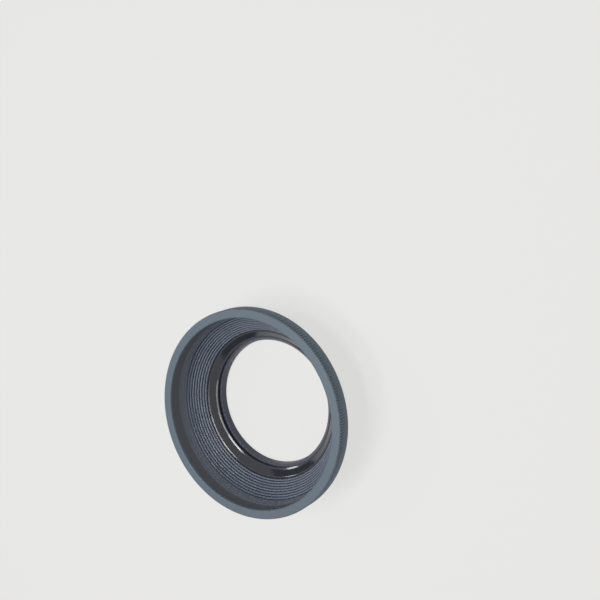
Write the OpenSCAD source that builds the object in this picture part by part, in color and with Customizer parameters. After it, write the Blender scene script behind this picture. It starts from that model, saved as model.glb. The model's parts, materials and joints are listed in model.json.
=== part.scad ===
// Foldable rubber lens hood: a metal mount that screws into the lens, a rubber moulding
// clamped in it, and a stepped wall that turns inside out to fold the mouth back.
// The optical axis is Z, the mouth faces up, and the hood stands on the end of its thread.

/* [Lens thread] */
// Nominal diameter of the male thread
thread_d = 72; // [58:0.5:82]
// Pitch of the thread
thread_pitch = 0.75; // [0.5:0.05:1]
// Length of the threaded spigot, from its rear end to the seat
thread_len = 3.5; // [2.8:0.1:6]
// Plain lead at the rear end of the spigot
thread_lead = 0.2; // [0.1:0.05:0.8]
// Plain shank between the thread and the seat
thread_shank = 0.3; // [0.2:0.05:1]

/* [Mount ring] */
// Wall of the spigot, from the clear bore to the thread crests
spigot_wall = 1.3; // [1:0.1:3]
// Thickness of the metal between the seat and the ledge inside the ring
ledge_t = 1.1; // [0.8:0.1:2]
// Width of the ledge that shows around the clear bore
ledge_w = 1.5; // [1:0.1:3]
// Thickness of the flange whose rear face seats on the lens
flange_t = 2.1; // [1.6:0.1:3]
// Reach of the flange beyond the hub
flange_reach = 1.5; // [1:0.1:2.5]
// Wall of the hub that holds the retaining ring
hub_wall = 0.8; // [0.6:0.05:2]
// Gap left above the hub, so that the rubber and not the metal is clamped
hub_gap = 0.3; // [0.1:0.05:0.6]
// Rounding of the turned metal edges
metal_round = 0.2; // [0.1:0.05:0.4]

/* [Retaining ring] */
// Wall of the ring's body, from its bore to the hub
retainer_wall = 2.45; // [2:0.05:4]
// Height of the ring's straight bore, below the conical face
retainer_bore_h = 1.6; // [0.8:0.1:2.5]
// Thickness of the flange that clamps the rubber
clamp_t = 3.1; // [2.4:0.1:4]
// Reach of the clamping flange beyond the hub
clamp_reach = 1.4; // [1:0.1:2]
// Width of the bright facets on both sides of the conical face
facet_w = 1; // [0.5:0.1:1.2]
// Slope of the facets, in degrees
facet_slope = 23; // [15:1:40]
// Rounding of the facets' edges
facet_round = 0.35; // [0.1:0.05:0.4]
// Radial clearance of the ring in the hub
retainer_fit = 0.05; // [0.02:0.01:0.15]

/* [Rubber collar] */
// Thickness of the bead that is clamped between the two metal rings
bead_t = 1.5; // [1.2:0.1:3]
// Radial clearance of the bead on the hub
bead_fit = 0.05; // [0.02:0.01:0.15]
// Radial gap between the clamping flange and the collar's upstand
upstand_gap = 0.1; // [0.05:0.05:0.3]
// Wall of the upstand, which is the first step of the inside
upstand_w = 1; // [0.8:0.1:2]
// Height of the first step above the retaining ring's outer edge
upstand_h = 0.8; // [0.4:0.1:1.5]

/* [Fold wall] */
// Radial pitch of the steps
rib_w = 1.05; // [0.9:0.05:1.5]
// Rise from one step to the next
rib_rise = 1; // [0.6:0.05:1.3]
// Height of each rib, measured on its inner side
rib_h = 2.4; // [2:0.1:3]
// Radial gap at each groove, where the wall flexes
fold_gap = 0.1; // [0.05:0.05:0.3]
// Rounding of each step's inner edge
crest_round = 0.55; // [0.1:0.05:0.6]
// Width of the moulded groove at the outer end of each step
groove_w = 0.25; // [0.1:0.05:0.4]
// Depth of the moulded groove
groove_d = 0.45; // [0.2:0.05:0.8]

/* [Front rim] */
// Width of the tread at the foot of the rim
foot_w = 0.9; // [0.6:0.1:1.5]
// Wall of the rim below the knurled band
skirt_t = 2.6; // [1.5:0.1:3.2]
// Height of the mouth, from the foot's tread to the front face
mouth_h = 13; // [12:0.5:24]
// How much wider the mouth is at the front than at its foot, on the radius
mouth_flare = 1.3; // [0.5:0.1:3]
// How far the lip stands in from the wall behind it
lip_reach = 0.8; // [0.3:0.1:1.2]
// Thickness of the lip
lip_t = 1.8; // [1.2:0.1:3]
// Width of the flat front face
lip_w = 4.7; // [4:0.1:6]
// Height of the band around the front of the rim
rim_h = 8; // [6:0.5:10]
// How much narrower the band is at the front than behind the knurl, on the radius
band_taper = 0.5; // [0.2:0.1:1.5]
// Height of the smooth bead in front of the knurl
bead_h = 0.7; // [0.5:0.1:2]
// Plain part of the band behind the knurl, where the teeth have run out
knurl_plain = 1; // [0.8:0.1:2]
// Rounding of the front face's outer edge
front_round = 0.6; // [0.2:0.1:1]
// Rounding of the front face's inner edge
lip_round = 0.7; // [0.3:0.1:1]
// Rounding of the rim's other moulded edges
rim_round = 0.5; // [0.2:0.1:0.8]
// Number of knurl teeth
knurl_n = 240; // [120:2:260]
// Depth of the knurl at its front end
knurl_depth = 0.8; // [0.3:0.05:1]
// Number of fine grooves around the flared wall inside the mouth
mouth_groove_n = 3; // [1:1:3]
// Spacing of the fine grooves
mouth_groove_pitch = 1.5; // [1.2:0.1:2.5]
// Depth of the fine grooves
mouth_groove_depth = 0.3; // [0.1:0.05:0.5]

/* [Hidden] */
// Ribs between the collar's step and the rim's foot
rib_n = 6;
// Facets that stand for a full turn, and arcs that stand for a rounded edge
turn_fn = 180;
arc_steps = 5;
// Most of an edge that a rounding takes up, towards a sharp corner and towards a rounded one
sharp_share = 0.9;
round_share = 0.45;

// Thread form with flanks at 30 degrees, in shares of the pitch
thread_depth = 0.5413 * thread_pitch;
crest_flat = thread_pitch / 8;
root_flat = thread_pitch / 4;
flank = (thread_pitch - crest_flat - root_flat) / 2;
thread_turns = floor((thread_len - thread_lead - thread_shank) / thread_pitch + 0.001);

// Radii of the metal rings, from the clear bore outwards
thread_r = thread_d / 2;
root_r = thread_r - thread_depth;
bore_r = thread_r - spigot_wall;
retainer_bore_r = bore_r + ledge_w;
retainer_r = retainer_bore_r + retainer_wall;
recess_r = retainer_r + retainer_fit;
hub_r = recess_r + hub_wall;
flange_r = hub_r + flange_reach;
clamp_r = hub_r + clamp_reach;

// Heights of the metal rings, from the rear end of the thread
seat_z = thread_len;
ledge_z = seat_z + ledge_t;
flange_z = seat_z + flange_t;
clamp_z = flange_z + bead_t;
hub_z = clamp_z - hub_gap;
edge_z = clamp_z + clamp_t;
cone_z = ledge_z + retainer_bore_h;
facet_drop = facet_w * tan(facet_slope);

// Radii and heights of the rubber moulding
bead_r = hub_r + bead_fit;
upstand_r = clamp_r + upstand_gap;
collar_r = upstand_r + upstand_w;
collar_z = edge_z + upstand_h;
foot_r = collar_r + rib_n * rib_w + fold_gap;
foot_z = collar_z + (rib_n + 1) * rib_rise;
wall_r = foot_r + foot_w;
skirt_r = wall_r + skirt_t;
flare_r = wall_r + mouth_flare;
lip_r = flare_r - lip_reach;
front_r = lip_r + lip_w;
rim_r = front_r + band_taper;
flare_h = (mouth_groove_n + 0.5) * mouth_groove_pitch;
front_z = foot_z + mouth_h;
band_z = front_z - rim_h;
knurl_foot_z = band_z + knurl_plain;
knurl_top_z = front_z - bead_h;
knurl_root_r = band_r(knurl_top_z) - knurl_depth;

// How far the knurl teeth sink into the rim and into the front bead
tooth_sink = 0.15;
// How far the tooth crests stay below the front bead
tooth_inset = 0.02;
// How far a cut runs past the solid that it opens
cut_over = 1;

metal_black = "#1c1e21";
rubber_slate = "#66727e";

function rib_name(k) = str("fold_rib_0", k);

// Points that replace corner i of a profile whose corners are [radius, height, rounding]
function corner(profile, i) =
    let (
        here = [profile[i][0], profile[i][1]],
        before = profile[(i + len(profile) - 1) % len(profile)],
        after = profile[(i + 1) % len(profile)],
        back = [before[0], before[1]] - here,
        ahead = [after[0], after[1]] - here,
        u = back / norm(back),
        v = ahead / norm(ahead),
        half = acos(u * v) / 2,
        room_back = norm(back) * (before[2] == 0 ? sharp_share : round_share),
        room_ahead = norm(ahead) * (after[2] == 0 ? sharp_share : round_share),
        reach = min(profile[i][2] / tan(half), room_back, room_ahead),
        r = reach * tan(half),
        centre = here + (u + v) / norm(u + v) * r / sin(half),
        first = here + u * reach - centre,
        last = here + v * reach - centre,
        a = atan2(first.y, first.x),
        sweep = (atan2(last.y, last.x) - a + 900) % 360 - 180
    )
    [for (j = [0 : arc_steps]) centre + r * [cos(a + sweep * j / arc_steps), sin(a + sweep * j / arc_steps)]];

// A profile with its corners rounded
function rounded(profile) = [
    for (i = [0 : len(profile) - 1])
        each (profile[i][2] == 0 ? [[profile[i][0], profile[i][1]]] : corner(profile, i))
];

// A ring turned about the optical axis
module turned(profile) {
    rotate_extrude($fn = turn_fn)
        polygon(rounded(profile));
}

// Corners of the thread, one ridge per turn
thread_ridges = [
    for (i = [0 : thread_turns - 1])
        let (z = thread_lead + i * thread_pitch + root_flat / 2)
        each [
            [root_r, z, 0],
            [thread_r, z + flank, 0],
            [thread_r, z + flank + crest_flat, 0],
            [root_r, z + 2 * flank + crest_flat, 0]
        ]
];

// Turned ring: threaded spigot, flange that seats on the lens, and hub that takes the retaining ring
module mount_ring() {
    color(metal_black)
        turned(concat(
            [[bore_r, 0, metal_round], [root_r, 0, metal_round]],
            thread_ridges,
            [
                [root_r, seat_z - thread_shank, 0],
                [thread_r, seat_z - thread_shank, 0],
                [thread_r, seat_z, 0],
                [flange_r, seat_z, metal_round],
                [flange_r, flange_z, metal_round],
                [hub_r, flange_z, 0],
                [hub_r, hub_z, metal_round],
                [recess_r, hub_z, metal_round],
                [recess_r, ledge_z, 0],
                [bore_r, ledge_z, metal_round]
            ]
        ));
}

// Enamelled ring with a conical face: its body sits on the ledge, its flange clamps the rubber
module retaining_ring() {
    color(metal_black)
        turned([
            [retainer_bore_r, ledge_z, 0],
            [retainer_r, ledge_z, metal_round],
            [retainer_r, clamp_z, 0],
            [clamp_r, clamp_z, metal_round],
            [clamp_r, edge_z, facet_round],
            [clamp_r - facet_w, edge_z - facet_drop, facet_round],
            [retainer_bore_r + facet_w, cone_z + facet_drop, 0],
            [retainer_bore_r, cone_z, facet_round]
        ]);
}

// Inner end of the moulding: the clamped bead and the first step
module rubber_collar() {
    color(rubber_slate)
        turned([
            [bead_r, flange_z, 0],
            [collar_r, flange_z, rim_round],
            [collar_r, collar_z - groove_d, 0],
            [collar_r - groove_w, collar_z, 0],
            [upstand_r, collar_z, crest_round],
            [upstand_r, clamp_z, 0],
            [bead_r, clamp_z, 0]
        ]);
}

// Slope of the wall's outside, which runs level with the steps of the inside
function slope(run) = run * rib_rise / rib_w;

// One step of the wall that folds, counted from the collar
module fold_rib(k) {
    inner_r = collar_r + (k - 1) * rib_w + fold_gap;
    outer_r = collar_r + k * rib_w;
    top_z = collar_z + k * rib_rise;
    foot = top_z - rib_h;
    color(rubber_slate)
        turned([
            [inner_r, foot, 0],
            [outer_r, foot + slope(outer_r - inner_r), 0],
            [outer_r, top_z - groove_d, 0],
            [outer_r - groove_w, top_z, 0],
            [inner_r, top_z, crest_round]
        ]);
}

// Radius of the mouth's flared wall at a height
function mouth_r(z) = wall_r + mouth_flare * (z - foot_z) / flare_h;

// Corners of the fine grooves inside the mouth, from the front one down
mouth_grooves = [
    for (i = [mouth_groove_n : -1 : 1])
        let (z = foot_z + i * mouth_groove_pitch)
        each [
            [mouth_r(z + mouth_groove_depth), z + mouth_groove_depth, 0],
            [mouth_r(z) + mouth_groove_depth, z, 0],
            [mouth_r(z - mouth_groove_depth), z - mouth_groove_depth, 0]
        ]
];

// Radius of the band at a height: it narrows from the knurl's foot to the front
function band_r(z) = rim_r - band_taper * (z - knurl_foot_z) / (front_z - knurl_foot_z);

// Outline of the knurl, seen along the axis: four corners for each tooth
knurl_outline = [
    for (i = [0 : knurl_n - 1], c = [[0.2, 0], [0.3, 1], [0.7, 1], [0.8, 0]])
        let (
            a = 360 * (i + c[0]) / knurl_n,
            r = c[1] == 1 ? rim_r + tooth_sink : knurl_root_r - tooth_sink
        )
        [r * cos(a), r * sin(a)]
];

// Ring of straight knurl teeth around the rim, whose crests lie on the band's cone
module knurl() {
    tall = knurl_top_z - knurl_foot_z + tooth_sink;
    crest_r = band_r(knurl_top_z + tooth_sink) - tooth_inset;
    translate([0, 0, knurl_foot_z])
        difference() {
            intersection() {
                linear_extrude(height = tall)
                    polygon(knurl_outline);
                cylinder(h = tall, r1 = rim_r - tooth_inset, r2 = crest_r, $fn = turn_fn);
            }
            translate([0, 0, -cut_over])
                cylinder(h = tall + 2 * cut_over, r = knurl_root_r - 2 * tooth_sink, $fn = turn_fn);
        }
}

// Outer end of the moulding: the mouth with its flat front face and its knurled grip. The ground
// between the teeth is a cone, so that they run out towards the rear.
module front_rim() {
    color(rubber_slate)
        union() {
            turned(concat(
                [
                    [foot_r, foot_z - rib_h, 0],
                    [skirt_r, foot_z - rib_h + slope(skirt_r - foot_r), rim_round],
                    [skirt_r, band_z, rim_round],
                    [rim_r, band_z, rim_round],
                    [rim_r, knurl_foot_z, 0],
                    [knurl_root_r, knurl_top_z, 0],
                    [band_r(knurl_top_z), knurl_top_z, 0],
                    [front_r, front_z, front_round],
                    [lip_r, front_z, lip_round],
                    [lip_r, front_z - lip_t, rim_round],
                    [flare_r, front_z - lip_t - lip_reach, 0],
                    [flare_r, foot_z + flare_h, 0]
                ],
                mouth_grooves,
                [
                    [wall_r, foot_z - groove_d, 0],
                    [wall_r - groove_w, foot_z, 0],
                    [foot_r, foot_z, crest_round]
                ]
            ));
            knurl();
        }
}

mount_ring();
retaining_ring();
rubber_collar();
for (k = [1 : rib_n]) {
    fold_rib(k);
}
front_rim();
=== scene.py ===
import json
import math

import bpy
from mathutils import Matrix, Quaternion, Vector


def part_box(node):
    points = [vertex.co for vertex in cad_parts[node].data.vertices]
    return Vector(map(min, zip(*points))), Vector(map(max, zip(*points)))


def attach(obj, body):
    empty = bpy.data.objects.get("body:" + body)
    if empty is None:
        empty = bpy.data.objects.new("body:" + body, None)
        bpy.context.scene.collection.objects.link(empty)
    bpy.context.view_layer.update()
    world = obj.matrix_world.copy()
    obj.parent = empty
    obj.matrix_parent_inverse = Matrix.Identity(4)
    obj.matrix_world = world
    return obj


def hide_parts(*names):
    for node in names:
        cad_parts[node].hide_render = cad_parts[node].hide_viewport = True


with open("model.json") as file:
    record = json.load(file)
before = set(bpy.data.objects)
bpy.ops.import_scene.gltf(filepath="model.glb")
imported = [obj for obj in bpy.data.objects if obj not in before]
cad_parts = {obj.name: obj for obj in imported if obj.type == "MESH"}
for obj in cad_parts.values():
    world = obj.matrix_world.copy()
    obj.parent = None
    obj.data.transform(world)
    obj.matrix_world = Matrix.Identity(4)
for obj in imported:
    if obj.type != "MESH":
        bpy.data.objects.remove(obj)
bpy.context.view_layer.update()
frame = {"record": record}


# Mount ring: turned from aluminium bar, bead blasted and black anodised. Its spigot carries
# the male lens thread, its flange seats on the front of the lens, and the rubber's bead sits
# around its hub.
mm = 0.001
tolerance = 0.001 * mm
mounts = {m["name"]: m for m in frame["record"]["mounts"]}
mount_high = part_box("mount_ring")[1]
retainer_low, retainer_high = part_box("retaining_ring")
collar_low, collar_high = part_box("rubber_collar")

thread_r = mounts["lens_thread"]["dims"]["r_mm"] * mm
thread_pitch = 0.75 * mm
# A metric thread: its depth and the flats at its crest and root, as shares of the pitch.
depth_share = 0.5413
crest_share = 1 / 8
root_share = 1 / 4
thread_depth = depth_share * thread_pitch
thread_root_r = thread_r - thread_depth
thread_run_in = thread_pitch / 2
thread_lead = 0.2 * mm
thread_shank = 0.3 * mm
thread_rows = 96
seat_z = mounts["lens_seat"]["pos_m"][2]
thread_end_z = seat_z - thread_shank
bore_r = 34.7 * mm
recess_r = 38.7 * mm
hub_r = 39.5 * mm
flange_r = mount_high.x
flange_z = collar_low.z
hub_z = mount_high.z
ledge_z = retainer_low.z
metal_round = 0.2 * mm


def rounded(corners, steps=6):
    """The points of a closed profile whose corners are (radius, height, rounding)."""
    # The most of an edge that a rounding takes: with a sharp corner at its other end, or a round one.
    share_alone = 0.9
    share_of_two = 0.45
    points = []
    for i, (r, z, rounding) in enumerate(corners):
        here = Vector((r, z))
        if rounding == 0:
            points.append(here)
            continue
        before = corners[i - 1]
        after = corners[(i + 1) % len(corners)]
        back = Vector(before[:2]) - here
        ahead = Vector(after[:2]) - here
        half = back.angle(ahead) / 2
        room_back = back.length * (share_alone if before[2] == 0 else share_of_two)
        room_ahead = ahead.length * (share_alone if after[2] == 0 else share_of_two)
        reach = min(rounding / math.tan(half), room_back, room_ahead)
        radius = reach * math.tan(half)
        u, v = back.normalized(), ahead.normalized()
        centre = here + (u + v).normalized() * radius / math.sin(half)
        first, last = here + u * reach - centre, here + v * reach - centre
        start = math.atan2(first.y, first.x)
        sweep = (math.atan2(last.y, last.x) - start + math.pi) % math.tau - math.pi
        for j in range(steps + 1):
            a = start + sweep * j / steps
            points.append(centre + radius * Vector((math.cos(a), math.sin(a))))
    return points


def turned(name, outline, segments=360, cut=None):
    """A closed ring about the optical axis. cut gives the radius at (radius, height, angle)."""
    sharp_edge = math.radians(22)
    count = len(outline)
    points = []
    for s in range(segments):
        a = math.tau * s / segments
        for r, z in outline:
            reach = cut(r, z, a) if cut else r
            points.append((reach * math.cos(a), reach * math.sin(a), z))
    quads = []
    for s in range(segments):
        here, there = s * count, (s + 1) % segments * count
        for i in range(count):
            j = (i + 1) % count
            quads.append((here + i, there + i, there + j, here + j))
    mesh = bpy.data.meshes.new(name)
    mesh.from_pydata(points, [], quads)
    mesh.shade_smooth()
    mesh.set_sharp_from_angle(angle=sharp_edge)
    piece = bpy.data.objects.new(name, mesh)
    bpy.context.scene.collection.objects.link(piece)
    flats = piece.modifiers.new("flat_faces", "WEIGHTED_NORMAL")
    flats.keep_sharp = True
    return piece


def thread_form(turns):
    """Height of the thread, from 0 at its root to 1 at its crest, along one pitch."""
    foot = (1 - root_share) / 2
    flank = foot - crest_share / 2
    from_crest = abs(turns % 1 - 1 / 2)
    return min(1, max(0, (foot - from_crest) / flank))


def thread_cut(r, z, a):
    """Radius of the spigot, with the thread wound around its root."""
    if abs(r - thread_root_r) > tolerance or not thread_lead < z < thread_end_z:
        return r
    up = z - thread_lead
    run_in = min(1, up / thread_run_in)
    return r + thread_depth * run_in * thread_form(up / thread_pitch - a / math.tau)


thread_rise = (thread_end_z - thread_lead) / thread_rows
thread_heights = [thread_lead + thread_rise * i for i in range(thread_rows + 1)]
mount_corners = (
    [(bore_r, 0, metal_round), (thread_root_r, 0, metal_round)]
    + [(thread_root_r, z, 0) for z in thread_heights]
    + [
        (thread_r, thread_end_z, 0),
        (thread_r, seat_z, 0),
        (flange_r, seat_z, metal_round),
        (flange_r, flange_z, metal_round),
        (hub_r, flange_z, 0),
        (hub_r, hub_z, metal_round),
        (recess_r, hub_z, metal_round),
        (recess_r, ledge_z, 0),
        (bore_r, ledge_z, metal_round),
    ]
)
mount_ring = turned("threaded_mount", rounded(mount_corners), cut=thread_cut)


def linear(code):
    """An sRGB hex colour as linear red, green, blue and alpha."""
    parts = [int(code[i : i + 2], 16) / 255 for i in (1, 3, 5)]
    return (*[c / 12.92 if c <= 0.04045 else ((c + 0.055) / 1.055) ** 2.4 for c in parts], 1)


def add(tree, kind, inputs, **settings):
    """A node with its settings, its values and the links into it."""
    made = tree.nodes.new(kind)
    for name, value in settings.items():
        setattr(made, name, value)
    for socket, value in inputs.items():
        if isinstance(value, bpy.types.NodeSocket):
            tree.links.new(value, made.inputs[socket])
        else:
            made.inputs[socket].default_value = value
    return made


def new_material(name):
    """A new node material, its tree and its Principled shader."""
    material = bpy.data.materials.new(name)
    material.use_nodes = True
    return material, material.node_tree, material.node_tree.nodes["Principled BSDF"]


def turning_lines(tree, spacing):
    """Noise that changes only along the tool's path: with the radius and with the height."""
    place = add(tree, "ShaderNodeTexCoord", {})
    flat = add(
        tree,
        "ShaderNodeVectorMath",
        {0: place.outputs["Object"], 1: (1, 1, 0)},
        operation="MULTIPLY",
    )
    radius = add(tree, "ShaderNodeVectorMath", {0: flat.outputs[0]}, operation="LENGTH")
    parts = add(tree, "ShaderNodeSeparateXYZ", {0: place.outputs["Object"]})
    path = add(
        tree,
        "ShaderNodeMath",
        {0: radius.outputs["Value"], 1: parts.outputs["Z"]},
        operation="ADD",
    )
    return add(
        tree,
        "ShaderNodeTexNoise",
        {"W": path.outputs[0], "Scale": 1 / spacing, "Detail": 2.0},
        noise_dimensions="1D",
    )


# Black anodised aluminium, bead blasted before the bath: a dark satin metal with faint turning
# lines under the blast. Real lines and dimples are about 0.05 mm wide, too fine to show, so they
# are drawn at 0.15 mm and 0.12 mm.
anodised_black = "#484a54"
anodised_worn = "#51535d"
satin_line_w = 0.15 * mm
satin_dimple_w = 0.12 * mm
satin_depth = 0.02 * mm
satin, satin_tree, satin_shader = new_material("satin_black_anodised_aluminium")
satin_lines = turning_lines(satin_tree, satin_line_w)
satin_place = add(satin_tree, "ShaderNodeTexCoord", {})
satin_blast = add(
    satin_tree,
    "ShaderNodeTexNoise",
    {"Vector": satin_place.outputs["Object"], "Scale": 1 / satin_dimple_w, "Detail": 2.0},
)
satin_tone = add(
    satin_tree,
    "ShaderNodeMix",
    {0: satin_lines.outputs["Fac"], 6: linear(anodised_black), 7: linear(anodised_worn)},
    data_type="RGBA",
)
satin_gloss = add(
    satin_tree,
    "ShaderNodeMapRange",
    {"Value": satin_blast.outputs["Fac"], "To Min": 0.34, "To Max": 0.46},
)
satin_relief = add(
    satin_tree,
    "ShaderNodeBump",
    {"Height": satin_blast.outputs["Fac"], "Strength": 0.15, "Distance": satin_depth},
)
satin_lathe = add(
    satin_tree,
    "ShaderNodeBump",
    {
        "Height": satin_lines.outputs["Fac"],
        "Normal": satin_relief.outputs[0],
        "Strength": 0.2,
        "Distance": satin_depth,
    },
)
satin_shader.inputs["Metallic"].default_value = 1
satin_tree.links.new(satin_tone.outputs[2], satin_shader.inputs["Base Color"])
satin_tree.links.new(satin_gloss.outputs[0], satin_shader.inputs["Roughness"])
satin_tree.links.new(satin_lathe.outputs[0], satin_shader.inputs["Normal"])

mount_ring.data.materials.append(satin)
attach(mount_ring, "mount")
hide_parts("mount_ring")


# Retaining ring: turned aluminium, stove-enamelled gloss black. It is pressed into the hub after
# the rubber is in place, and its flange holds the rubber's bead down. Its conical face, between
# two narrow facets, shows inside the hood.
retainer_bore_r = 36.2 * mm
retainer_bore_h = 1.6 * mm
retainer_r = 38.65 * mm
facet_w = 1 * mm
facet_slope = math.radians(23)
facet_round = 0.35 * mm
clamp_r = retainer_high.x
edge_z = retainer_high.z
clamp_z = 7.1 * mm
facet_drop = facet_w * math.tan(facet_slope)
retainer_corners = [
    (retainer_bore_r, ledge_z, 0),
    (retainer_r, ledge_z, metal_round),
    (retainer_r, clamp_z, 0),
    (clamp_r, clamp_z, metal_round),
    (clamp_r, edge_z, facet_round),
    (clamp_r - facet_w, edge_z - facet_drop, facet_round),
    (retainer_bore_r + facet_w, ledge_z + retainer_bore_h + facet_drop, 0),
    (retainer_bore_r, ledge_z + retainer_bore_h, facet_round),
]
retaining_ring = turned("glossy_retainer", rounded(retainer_corners, steps=10), segments=480)

# Stove enamel on turned aluminium: a smooth gloss black that mirrors what is bright around it. The
# turning under the enamel stays as faint lines, drawn at 0.2 mm so that they show.
enamel_black = "#34363f"
enamel_thin = "#3c3e48"
enamel_line_w = 0.2 * mm
enamel_depth = 0.02 * mm
enamel, enamel_tree, enamel_shader = new_material("gloss_black_stove_enamel")
enamel_lines = turning_lines(enamel_tree, enamel_line_w)
enamel_tone = add(
    enamel_tree,
    "ShaderNodeMix",
    {0: enamel_lines.outputs["Fac"], 6: linear(enamel_black), 7: linear(enamel_thin)},
    data_type="RGBA",
)
enamel_gloss = add(
    enamel_tree,
    "ShaderNodeMapRange",
    {"Value": enamel_lines.outputs["Fac"], "To Min": 0.06, "To Max": 0.14},
)
enamel_lathe = add(
    enamel_tree,
    "ShaderNodeBump",
    {"Height": enamel_lines.outputs["Fac"], "Strength": 0.05, "Distance": enamel_depth},
)
enamel_shader.inputs["IOR"].default_value = 1.5
enamel_tree.links.new(enamel_tone.outputs[2], enamel_shader.inputs["Base Color"])
enamel_tree.links.new(enamel_gloss.outputs[0], enamel_shader.inputs["Roughness"])
enamel_tree.links.new(enamel_lathe.outputs[0], enamel_shader.inputs["Normal"])

retaining_ring.data.materials.append(enamel)
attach(retaining_ring, "mount")
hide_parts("retaining_ring")


# Rubber collar: the inner end of the one rubber moulding. Its bead is clamped between the two
# metal rings, and its upstand is the first step of the inside.
bead_fit = 0.05 * mm
bead_r = hub_r + bead_fit
upstand_gap = 0.1 * mm
upstand_r = clamp_r + upstand_gap
collar_r = collar_high.x
collar_z = collar_high.z
crest_round = 0.55 * mm
rim_round = 0.5 * mm
groove_w = 0.25 * mm
groove_d = 0.45 * mm
collar_corners = [
    (bead_r, flange_z, 0),
    (collar_r, flange_z, rim_round),
    (collar_r, collar_z - groove_d, 0),
    (collar_r - groove_w, collar_z, 0),
    (upstand_r, collar_z, crest_round),
    (upstand_r, clamp_z, 0),
    (bead_r, clamp_z, 0),
]
rubber_collar = turned("clamped_collar", rounded(collar_corners))

# Slate-grey rubber, compression moulded in a spark-eroded tool: matt, with a fine even grain and
# cloudy patches where the surface has bloomed. The grain of such a tool is about 0.1 mm, and it
# is drawn at 0.2 mm so that it shows.
rubber_grain_w = 0.2 * mm
rubber_grain_depth = 0.03 * mm
rubber_cloud_w = 9 * mm


def slate_rubber(name, tones, roughness):
    """The rubber between two tones and two limits of roughness."""
    dark, pale = tones
    low, high = roughness
    material, tree, shader = new_material(name)
    place = add(tree, "ShaderNodeTexCoord", {})
    grain = add(
        tree,
        "ShaderNodeTexNoise",
        {"Vector": place.outputs["Object"], "Scale": 1 / rubber_grain_w, "Detail": 3.0},
    )
    cloud = add(
        tree,
        "ShaderNodeTexNoise",
        {"Vector": place.outputs["Object"], "Scale": 1 / rubber_cloud_w, "Detail": 4.0},
    )
    tone = add(
        tree,
        "ShaderNodeMix",
        {0: cloud.outputs["Fac"], 6: linear(dark), 7: linear(pale)},
        data_type="RGBA",
    )
    gloss = add(
        tree,
        "ShaderNodeMapRange",
        {"Value": cloud.outputs["Fac"], "To Min": low, "To Max": high},
    )
    relief = add(
        tree,
        "ShaderNodeBump",
        {"Height": grain.outputs["Fac"], "Strength": 0.25, "Distance": rubber_grain_depth},
    )
    shader.inputs["IOR"].default_value = 1.52
    tree.links.new(tone.outputs[2], shader.inputs["Base Color"])
    tree.links.new(gloss.outputs[0], shader.inputs["Roughness"])
    tree.links.new(relief.outputs[0], shader.inputs["Normal"])
    return material


# Folding rubs the steps and brings the bloom out, so they are paler and shinier than the rest.
folded_tones = ("#616c7b", "#6d7384")
folded_roughness = (0.27, 0.36)
folded_rubber = slate_rubber("folded_slate_rubber", folded_tones, folded_roughness)

rubber_collar.data.materials.append(folded_rubber)
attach(rubber_collar, "mount")
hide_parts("rubber_collar")


# Fold ribs: the steps of the rubber wall, moulded in one with the collar and the rim. The wall
# flexes in the groove at each step, so each rib follows its own share of the fold. The narrow gap
# between two ribs only keeps them apart as they slide.
rib_count = 6
rib_w = 1.05 * mm
rib_rise = 1 * mm
rib_h = 2.4 * mm
rib_gap = 0.02 * mm
for k in range(1, rib_count + 1):
    inner_r = collar_r + (k - 1) * rib_w + rib_gap
    outer_r = collar_r + k * rib_w
    top_z = collar_z + k * rib_rise
    rib_foot_z = top_z - rib_h
    rib_corners = [
        (inner_r, rib_foot_z, 0),
        (outer_r, rib_foot_z + rib_rise, 0),
        (outer_r, top_z - groove_d, 0),
        (outer_r - groove_w, top_z, 0),
        (inner_r, top_z, crest_round),
    ]
    rib = turned(f"wall_step_{k}", rounded(rib_corners))
    rib.data.materials.append(folded_rubber)
    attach(rib, f"rib_{k}")
    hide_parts(f"fold_rib_0{k}")


# Front rim: the outer end of the rubber moulding, with a flat front face and a lip that stands in
# over the flared wall. Its band narrows to the front and ends in a smooth bead. The straight knurl
# teeth, moulded in for the fingers, are deepest at the front and run out towards the rear.
rim_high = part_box("front_rim")[1]
rim_r = rim_high.x
rim_h = 8 * mm
front_z = rim_high.z
band_z = front_z - rim_h
band_taper = 0.5 * mm
front_round = 0.6 * mm
foot_w = 0.98 * mm
foot_r = collar_r + rib_count * rib_w + rib_gap
foot_z = collar_z + (rib_count + 1) * rib_rise
skirt_t = 2.6 * mm
wall_r = foot_r + foot_w
skirt_r = wall_r + skirt_t
skirt_z = foot_z - rib_h
skirt_rise = (skirt_r - foot_r) * rib_rise / rib_w
mouth_flare = 1.3 * mm
flare_r = wall_r + mouth_flare
lip_reach = 0.8 * mm
lip_r = flare_r - lip_reach
lip_t = 1.8 * mm
lip_round = 0.7 * mm
lip_z = front_z - lip_t
bead_h = 0.7 * mm
knurl_teeth = 240
knurl_points = 6
knurl_depth = 0.8 * mm
knurl_end = 0.2 * mm
knurl_plain = 1 * mm
knurl_rows = 24
knurl_foot_z = band_z + knurl_plain
knurl_top_z = front_z - bead_h
# The gaps follow a wave around the band, lifted and cut off flat, so tops and floors are flat.
knurl_lift = 0.5
knurl_steepness = 0.85
mouth_groove_count = 3
mouth_groove_depth = 0.3 * mm
mouth_groove_pitch = 1.5 * mm
mouth_groove_margin = 0.5
flare_h = (mouth_groove_count + mouth_groove_margin) * mouth_groove_pitch
flare_z = foot_z + flare_h


def mouth_r(z):
    """Radius of the mouth's flared wall at a height."""
    return wall_r + mouth_flare * (z - foot_z) / flare_h


def band_r(z):
    """Radius of the band at a height: it narrows from the knurl's foot to the front."""
    return rim_r - band_taper * (z - knurl_foot_z) / (front_z - knurl_foot_z)


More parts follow.
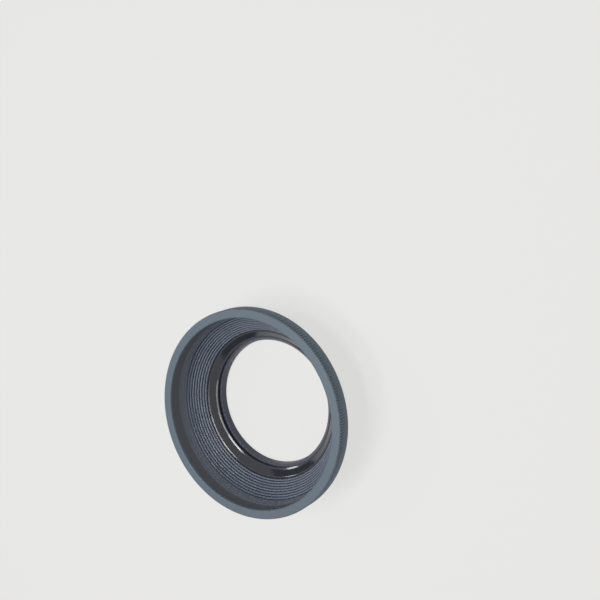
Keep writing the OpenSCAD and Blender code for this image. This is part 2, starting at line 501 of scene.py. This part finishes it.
def knurl_cut(r, z, a):
    """Radius of the rim, with the gaps between the knurl teeth cut into its band."""
    if abs(r - band_r(z)) > tolerance or not knurl_foot_z < z < knurl_top_z:
        return r
    run_out = (z - knurl_foot_z) / (knurl_top_z - knurl_foot_z)
    fade = min(run_out, (knurl_top_z - z) / knurl_end)
    wave = math.cos(knurl_teeth * a)
    gap = min(1, max(0, knurl_lift - knurl_steepness * wave))
    return r - knurl_depth * fade * gap


mouth_grooves = []
for i in range(mouth_groove_count, 0, -1):
    z = foot_z + i * mouth_groove_pitch
    for rise, depth in ((1, 0), (0, 1), (-1, 0)):
        level = z + rise * mouth_groove_depth
        mouth_grooves.append((mouth_r(level) + depth * mouth_groove_depth, level, 0))
knurl_rise = (knurl_top_z - knurl_foot_z) / knurl_rows
knurl_heights = [knurl_foot_z + knurl_rise * i for i in range(knurl_rows + 1)]
rim_corners = (
    [
        (foot_r, skirt_z, 0),
        (skirt_r, skirt_z + skirt_rise, rim_round),
        (skirt_r, band_z, rim_round),
        (rim_r, band_z, rim_round),
    ]
    + [(band_r(z), z, 0) for z in knurl_heights]
    + [
        (rim_r - band_taper, front_z, front_round),
        (lip_r, front_z, lip_round),
        (lip_r, lip_z, rim_round),
        (flare_r, lip_z - lip_reach, 0),
        (flare_r, flare_z, 0),
    ]
    + mouth_grooves
    + [
        (wall_r, foot_z - groove_d, 0),
        (wall_r - groove_w, foot_z, 0),
        (foot_r, foot_z, crest_round),
    ]
)
rim_segments = knurl_teeth * knurl_points
front_rim = turned("knurled_rim", rounded(rim_corners), segments=rim_segments, cut=knurl_cut)

# As it comes from the mould, the rubber is matt, and its bloom shows as paler patches.
moulded_tones = ("#586673", "#5f6d7a")
moulded_roughness = (0.45, 0.56)
moulded_rubber = slate_rubber("moulded_slate_rubber", moulded_tones, moulded_roughness)

# The undercut wall behind the lip takes a darker, more neutral grey of the same rubber, which is
# painted shade for the shadow under the lip. The flared wall bends with the steps and looks like
# them.
undercut_shade_tones = ("#5c5f66", "#63666d")
undercut_shade_rubber = slate_rubber("undercut_shade_slate_rubber", undercut_shade_tones, moulded_roughness)

rim_rubbers = [moulded_rubber, undercut_shade_rubber, folded_rubber]
for rubber in rim_rubbers:
    front_rim.data.materials.append(rubber)
# Inside the mouth below the lip, the undercut wall takes the painted shade and the flared wall takes
# the folded rubber.
for face in front_rim.data.polygons:
    inside = face.center.xy.length < flare_r + mouth_groove_depth
    if inside and face.center.z < lip_z:
        rubber = undercut_shade_rubber if face.center.z > flare_z else folded_rubber
        face.material_index = rim_rubbers.index(rubber)
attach(front_rim, "rim")
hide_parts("front_rim")


# Studio: a floor of matt pale paper in a pale room. Both look evenly pale to the eye and in
# reflections, and the paper still takes the hood's soft shadow.
floor_size = 3.0
paper_pale = "#f4f4f2"
paper_grey = "#d0d0ce"
glow_share = 0.74
room_pale = "#e6e6e4"
room_light = 0.15
floor_mesh = bpy.data.meshes.new("paper_floor")
corner = floor_size / 2
floor_mesh.from_pydata(
    [(-corner, -corner, 0), (corner, -corner, 0), (corner, corner, 0), (-corner, corner, 0)],
    [],
    [(0, 1, 2, 3)],
)
floor = bpy.data.objects.new("paper_floor", floor_mesh)
bpy.context.scene.collection.objects.link(floor)


def seen(tree):
    """1 for what is seen straight, mirrored or through glass, and 0 for the light that it throws."""
    path = add(tree, "ShaderNodeLightPath", {})
    mirrored = add(
        tree,
        "ShaderNodeMath",
        {0: path.outputs["Is Camera Ray"], 1: path.outputs["Is Glossy Ray"]},
        operation="MAXIMUM",
    )
    through = add(
        tree,
        "ShaderNodeMath",
        {0: mirrored.outputs[0], 1: path.outputs["Is Transmission Ray"]},
        operation="MAXIMUM",
    )
    return through.outputs[0]


floor_material, floor_tree, floor_shader = new_material("matt_paper")
floor_shader.inputs["Base Color"].default_value = linear(paper_grey)
floor_shader.inputs["Roughness"].default_value = 0.9
floor_seen = add(
    floor_tree,
    "ShaderNodeMath",
    {0: seen(floor_tree), 1: glow_share},
    operation="MULTIPLY",
)
floor_glow = add(floor_tree, "ShaderNodeEmission", {"Color": linear(paper_pale), "Strength": 1.0})
floor_mix = add(
    floor_tree,
    "ShaderNodeMixShader",
    {0: floor_seen.outputs[0], 1: floor_shader.outputs[0], 2: floor_glow.outputs[0]},
)
floor_tree.links.new(floor_mix.outputs[0], floor_tree.nodes["Material Output"].inputs["Surface"])
floor_mesh.materials.append(floor_material)

world = bpy.data.worlds.new("studio")
world.use_nodes = True
world_tree = world.node_tree
room = world_tree.nodes["Background"]
room.inputs["Color"].default_value = linear(paper_pale)
room.inputs["Strength"].default_value = room_light
backdrop = add(world_tree, "ShaderNodeBackground", {"Color": linear(room_pale), "Strength": 1.0})
world_mix = add(
    world_tree,
    "ShaderNodeMixShader",
    {0: seen(world_tree), 1: room.outputs[0], 2: backdrop.outputs[0]},
)
world_tree.links.new(world_mix.outputs[0], world_tree.nodes["World Output"].inputs["Surface"])
bpy.context.scene.world = world


# Camera: a 35 mm lens, tilted over the hood and rolled, so that the mouth faces the viewer and
# the lower left of the picture. hood_pixel is where the middle of the hood lies in the picture.
picture_px = 600
sensor = 36.0
lens = 35.0
view_elevation = math.radians(52.54)
view_distance = 0.3171
view_roll = math.radians(-155.93)
hood_pixel = (260.55, 407.46)
hood_middle = Vector((0, 0, 16 * mm))
camera_data = bpy.data.cameras.new("camera")
camera_data.lens = lens
camera_data.sensor_width = sensor
camera_data.clip_start = 0.01
camera = bpy.data.objects.new("camera", camera_data)
bpy.context.scene.collection.objects.link(camera)
towards_camera = Vector((0, -math.cos(view_elevation), math.sin(view_elevation)))
camera.location = hood_middle + view_distance * towards_camera
px_mm = sensor / picture_px
across = (hood_pixel[0] - picture_px / 2) * px_mm
up = (picture_px / 2 - hood_pixel[1]) * px_mm
ray = Vector((across, up, -lens)).normalized()
upright = (-towards_camera).to_track_quat("-Z", "Y")
axis_on_picture = math.radians(90)
roll = Quaternion((0, 0, 1), view_roll - axis_on_picture)
aim = Vector((0, 0, -1)).rotation_difference(ray)
camera.rotation_mode = "QUATERNION"
camera.rotation_quaternion = upright @ roll.inverted() @ aim.inverted()
bpy.context.scene.camera = camera


# Lamps: six soft boxes around the hood. The first three hang almost straight above it and are
# mirrored in the glossy ring. Sizes are in metres and powers in watts.
lamp_distance = 1.0


def lamp(name, azimuth, elevation, width, depth, power, along=0):
    """A soft lamp aimed at the hood. Its width lies along an azimuth, and angles are in degrees."""
    data = bpy.data.lights.new(name, "AREA")
    data.shape = "RECTANGLE"
    data.size = width
    data.size_y = depth
    data.energy = power
    made = bpy.data.objects.new(name, data)
    bpy.context.scene.collection.objects.link(made)
    turn = Quaternion((0, 0, 1), math.radians(azimuth))
    tilt = Quaternion((0, 1, 0), math.radians(90 - elevation))
    spin = Quaternion((0, 0, 1), math.radians(along - azimuth))
    made.rotation_mode = "QUATERNION"
    made.rotation_quaternion = turn @ tilt @ spin
    made.location = hood_middle + made.rotation_quaternion @ Vector((0, 0, lamp_distance))


# The long streak on the glossy ring, the bright line along its outer facet, and the streak's end.
lamp("strip_lamp", -170, 83, 0.65, 0.12, 1.1, along=-16)
lamp("edge_lamp", 6, 84.3, 0.42, 0.08, 1.1, along=11)
lamp("key_lamp", -12, 77, 0.2, 0.2, 1.7)
# Behind the far side, so that the lip there shades the outer steps.
lamp("back_lamp", 92, 73, 0.28, 0.18, 2.7)
# A second, small highlight on the ring.
lamp("side_lamp", 47, 42, 0.12, 0.12, 0.6)
# Low down, for the knurl on the near side and the wall behind the far lip.
lamp("near_lamp", -90, 12, 0.4, 0.15, 1.5)

bpy.context.scene.view_settings.view_transform = "Standard"
